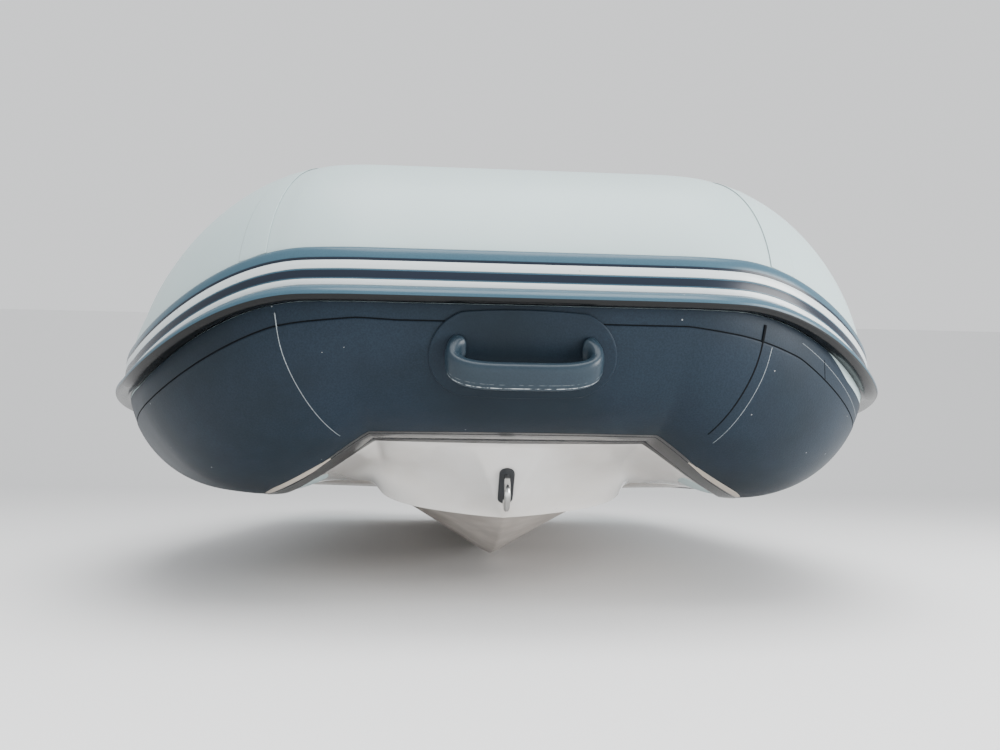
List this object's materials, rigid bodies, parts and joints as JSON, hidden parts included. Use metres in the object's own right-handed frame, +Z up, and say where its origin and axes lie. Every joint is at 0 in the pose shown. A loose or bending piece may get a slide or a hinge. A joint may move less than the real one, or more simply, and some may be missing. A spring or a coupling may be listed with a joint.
{
  "type": "rigid inflatable dinghy",
  "caption": "U-shaped inflatable tubes with a raised square bow, rubbing strake and wear panels on a moulded V hull with transom, seat, locker, handles and rowlocks.",
  "frame": {"origin": "on the ground under the keel, at mid length and mid beam", "axes": "+X to port, +Y aft towards the transom, +Z up; the bow points to -Y"},
  "size_m": [1.704, 3.1, 0.7045],
  "materials": {
    "tube_fabric": "light grey coated tube fabric, satin",
    "panel_fabric": "dark slate coated fabric, fine grain",
    "strake_rubber": "slate blue extruded rubber, semi-gloss",
    "stripe_rubber": "white extruded stripe",
    "handle_rubber": "moulded slate rubber with a faint parting line",
    "gelcoat": "glossy white moulded gelcoat",
    "pad_plastic": "ribbed dark plastic",
    "stainless": "polished stainless steel",
    "fitting_plastic": "moulded dark nylon",
    "flap_rubber": "black rubber flap",
    "valve_plastic": "moulded grey nylon",
    "seat_plastic": "light grey textured plastic"
  },
  "bodies": {
    "boat": {"bow_tube": "tube_fabric", "port_corner_tube": "tube_fabric", "starboard_corner_tube": "tube_fabric", "port_side_tube": "tube_fabric", "starboard_side_tube": "tube_fabric", "port_stern_cone": "tube_fabric", "starboard_stern_cone": "tube_fabric", "chamber_baffles": "tube_fabric", "bow_wear_panel": "panel_fabric", "port_corner_wear_panel": "panel_fabric", "starboard_corner_wear_panel": "panel_fabric", "port_side_wear_panel": "panel_fabric", "starboard_side_wear_panel": "panel_fabric", "bow_rubbing_strake": "strake_rubber", "port_corner_rubbing_strake": "strake_rubber", "starboard_corner_rubbing_strake": "strake_rubber", "port_side_rubbing_strake": "strake_rubber", "starboard_side_rubbing_strake": "strake_rubber", "strake_end_caps": "strake_rubber", "white_stripes": "stripe_rubber", "bow_handle": "handle_rubber", "bow_handle_patch": "panel_fabric", "side_handle_patches": "panel_fabric", "port_fore_handle": "handle_rubber", "starboard_fore_handle": "handle_rubber", "port_aft_handle": "handle_rubber", "starboard_aft_handle": "handle_rubber", "hull_shell": "gelcoat", "deck": "gelcoat", "transom_board": "gelcoat", "bow_locker": "gelcoat", "inner_motor_pad": "pad_plastic", "outer_motor_pad": "pad_plastic", "bow_eye": "stainless", "bow_eye_plate": "stainless", "port_stern_eye": "stainless", "starboard_stern_eye": "stainless", "stern_eye_fastenings": "stainless", "locker_hinge_pins": "stainless", "drain_socket": "fitting_plastic", "bow_valve_body": "valve_plastic", "port_valve_body": "valve_plastic", "starboard_valve_body": "valve_plastic", "port_rowlock_socket": "fitting_plastic", "starboard_rowlock_socket": "fitting_plastic", "thwart_brackets": "fitting_plastic"},
    "locker_lid_body": {"locker_lid": "gelcoat"},
    "lid_latch_body": {"lid_latch": "fitting_plastic"},
    "bow_cap": {"bow_valve_cap": "valve_plastic"},
    "port_cap": {"port_valve_cap": "valve_plastic"},
    "starboard_cap": {"starboard_valve_cap": "valve_plastic"},
    "bow_plunger": {"bow_valve_plunger": "valve_plastic"},
    "port_plunger": {"port_valve_plunger": "valve_plastic"},
    "starboard_plunger": {"starboard_valve_plunger": "valve_plastic"},
    "port_horn": {"port_rowlock_horn": "fitting_plastic"},
    "starboard_horn": {"starboard_rowlock_horn": "fitting_plastic"},
    "plug": {"drain_plug": "fitting_plastic"},
    "flap": {"drain_flap": "flap_rubber"},
    "seat": {"thwart": "seat_plastic"}
  },
  "joints": [
    {"name": "locker_lid_hinge", "type": "hinge", "parent": "boat", "child": "locker_lid_body", "pos_m": [0, -1.003, 0.457], "axis": [1, 0, 0], "range_deg": [0, 95]},
    {"name": "lid_latch_turn", "type": "hinge", "parent": "locker_lid_body", "child": "lid_latch_body", "pos_m": [0, -0.685, 0.45], "axis": [0, 0, 1], "range_deg": [0, 90]},
    {"name": "bow_valve_cap_off", "type": "slide", "parent": "boat", "child": "bow_cap", "axis": [0, 0.766, 0.6428], "range_m": [0, 0.03]},
    {"name": "bow_valve_plunger_press", "type": "slide", "parent": "boat", "child": "bow_plunger", "axis": [0, -0.766, -0.6428], "range_m": [0, 0.005], "stiffness_N_per_m": 300, "springref_m": -0.001},
    {"name": "port_valve_cap_off", "type": "slide", "parent": "boat", "child": "port_cap", "axis": [-0.766, 0, 0.6428], "range_m": [0, 0.03]},
    {"name": "port_valve_plunger_press", "type": "slide", "parent": "boat", "child": "port_plunger", "axis": [0.766, 0, -0.6428], "range_m": [0, 0.005], "stiffness_N_per_m": 300, "springref_m": -0.001},
    {"name": "starboard_valve_cap_off", "type": "slide", "parent": "boat", "child": "starboard_cap", "axis": [0.766, 0, 0.6428], "range_m": [0, 0.03]},
    {"name": "starboard_valve_plunger_press", "type": "slide", "parent": "boat", "child": "starboard_plunger", "axis": [-0.766, 0, -0.6428], "range_m": [0, 0.005], "stiffness_N_per_m": 300, "springref_m": -0.001},
    {"name": "port_rowlock_swivel", "type": "hinge", "parent": "boat", "child": "port_horn", "pos_m": [0.66712, 0.06, 0.62573], "axis": [0.2079, 0, 0.9781], "continuous": true},
    {"name": "starboard_rowlock_swivel", "type": "hinge", "parent": "boat", "child": "starboard_horn", "pos_m": [-0.66712, 0.06, 0.62573], "axis": [-0.2079, 0, 0.9781], "continuous": true},
    {"name": "drain_plug_pull", "type": "slide", "parent": "boat", "child": "plug", "axis": [0, -1, 0], "range_m": [0, 0.03]},
    {"name": "drain_flap_hinge", "type": "hinge", "parent": "boat", "child": "flap", "pos_m": [0.16, 1.1583, 0.354], "axis": [1, 0, 0], "range_deg": [0, 60]},
    {"name": "thwart_lift", "type": "slide", "parent": "boat", "child": "seat", "axis": [0, 0, 1], "range_m": [0, 0.2]}
  ]
}
